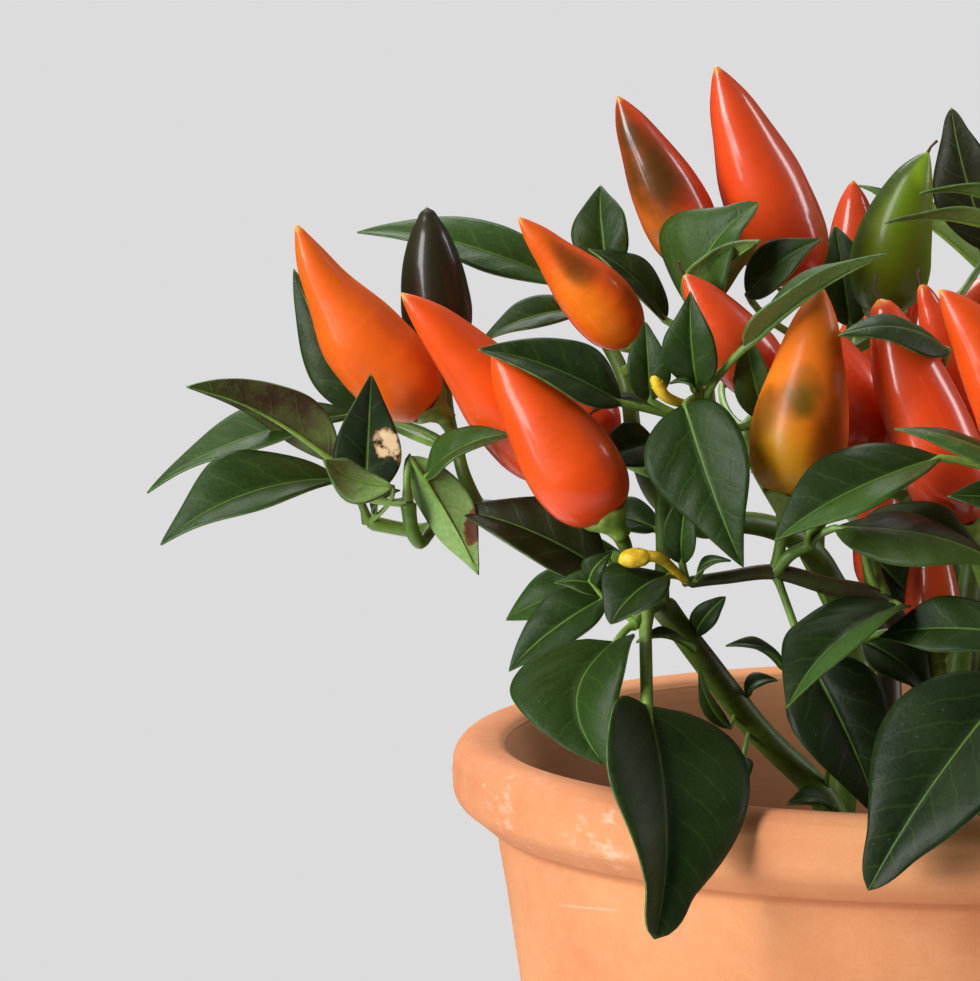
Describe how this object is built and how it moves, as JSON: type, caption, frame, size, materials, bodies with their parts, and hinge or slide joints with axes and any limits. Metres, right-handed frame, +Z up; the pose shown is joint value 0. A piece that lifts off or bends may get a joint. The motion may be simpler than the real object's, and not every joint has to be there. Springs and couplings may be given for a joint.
{
  "type": "potted chilli pepper plant",
  "caption": "Bushy ornamental chilli pepper with upright conical fruits and pointed leaves, in a round tapered terracotta pot with a rolled rim.",
  "frame": {"origin": "middle of the pot's flat foot, on the surface that the pot stands on", "axes": "+Z up along the pot's axis; -Y towards the front of the plant, as the picture shows it; +X to the picture's right"},
  "size_m": [0.2913, 0.2676, 0.312],
  "materials": {
    "pot_clay": "unglazed terracotta, matt, with faint turning lines and pale scuffs",
    "potting_soil": null,
    "foliage": "satin dark green leaves with lighter undersides, green stems",
    "chilli_green": "glossy unripe green skin",
    "chilli_dark": "glossy olive-black unripe skin",
    "chilli_turning_brown": "glossy skin turning from olive-brown to orange-red",
    "chilli_turning_orange": "glossy skin turning from brown-green to orange",
    "chilli_turning_green": "glossy yellow-orange skin with a green patch",
    "chilli_orange": "glossy orange skin",
    "chilli_red_orange": "glossy orange-red skin",
    "chilli_red": "glossy red skin"
  },
  "bodies": {
    "root": {"pot": "pot_clay", "soil": "potting_soil", "left_stem_near": "foliage", "chilli_orange_left_near": "chilli_orange", "chilli_dark_small_near": "chilli_dark", "chilli_orange_crossing_near": "chilli_red_orange", "chilli_orange_front_near": "chilli_red_orange", "chilli_red_hidden_near": "chilli_red", "chilli_red_crown_near": "chilli_red", "back_left_stem_near": "foliage", "chilli_turning_left_near": "chilli_turning_orange", "chilli_turning_top_near": "chilli_turning_brown", "front_right_stem_near": "foliage", "chilli_turning_mid_near": "chilli_turning_green", "chilli_red_behind_near": "chilli_red", "chilli_red_tall_near": "chilli_red", "chilli_red_second_near": "chilli_red", "chilli_orange_right_near": "chilli_red_orange", "chilli_red_low_near": "chilli_red", "back_right_stem_near": "foliage", "chilli_red_big_near": "chilli_red", "chilli_red_far_near": "chilli_red", "chilli_green_top_near": "chilli_green", "left_stem_far": "foliage", "chilli_orange_left_far": "chilli_orange", "chilli_dark_small_far": "chilli_dark", "chilli_orange_crossing_far": "chilli_red_orange", "chilli_orange_front_far": "chilli_red_orange", "chilli_red_crown_far": "chilli_red", "back_left_stem_far": "foliage", "chilli_turning_left_far": "chilli_turning_orange", "chilli_turning_top_far": "chilli_turning_brown", "front_right_stem_far": "foliage", "chilli_red_behind_far": "chilli_red", "chilli_red_tall_far": "chilli_red", "chilli_red_second_far": "chilli_red", "chilli_red_low_far": "chilli_red", "back_right_stem_far": "foliage", "chilli_red_big_far": "chilli_red", "chilli_red_far_far": "chilli_red", "left_stem_right": "foliage", "chilli_orange_left_right": "chilli_orange", "chilli_dark_small_right": "chilli_dark", "chilli_orange_crossing_right": "chilli_red_orange", "chilli_orange_front_right": "chilli_red_orange", "chilli_red_crown_right": "chilli_red"}
  },
  "joints": []
}
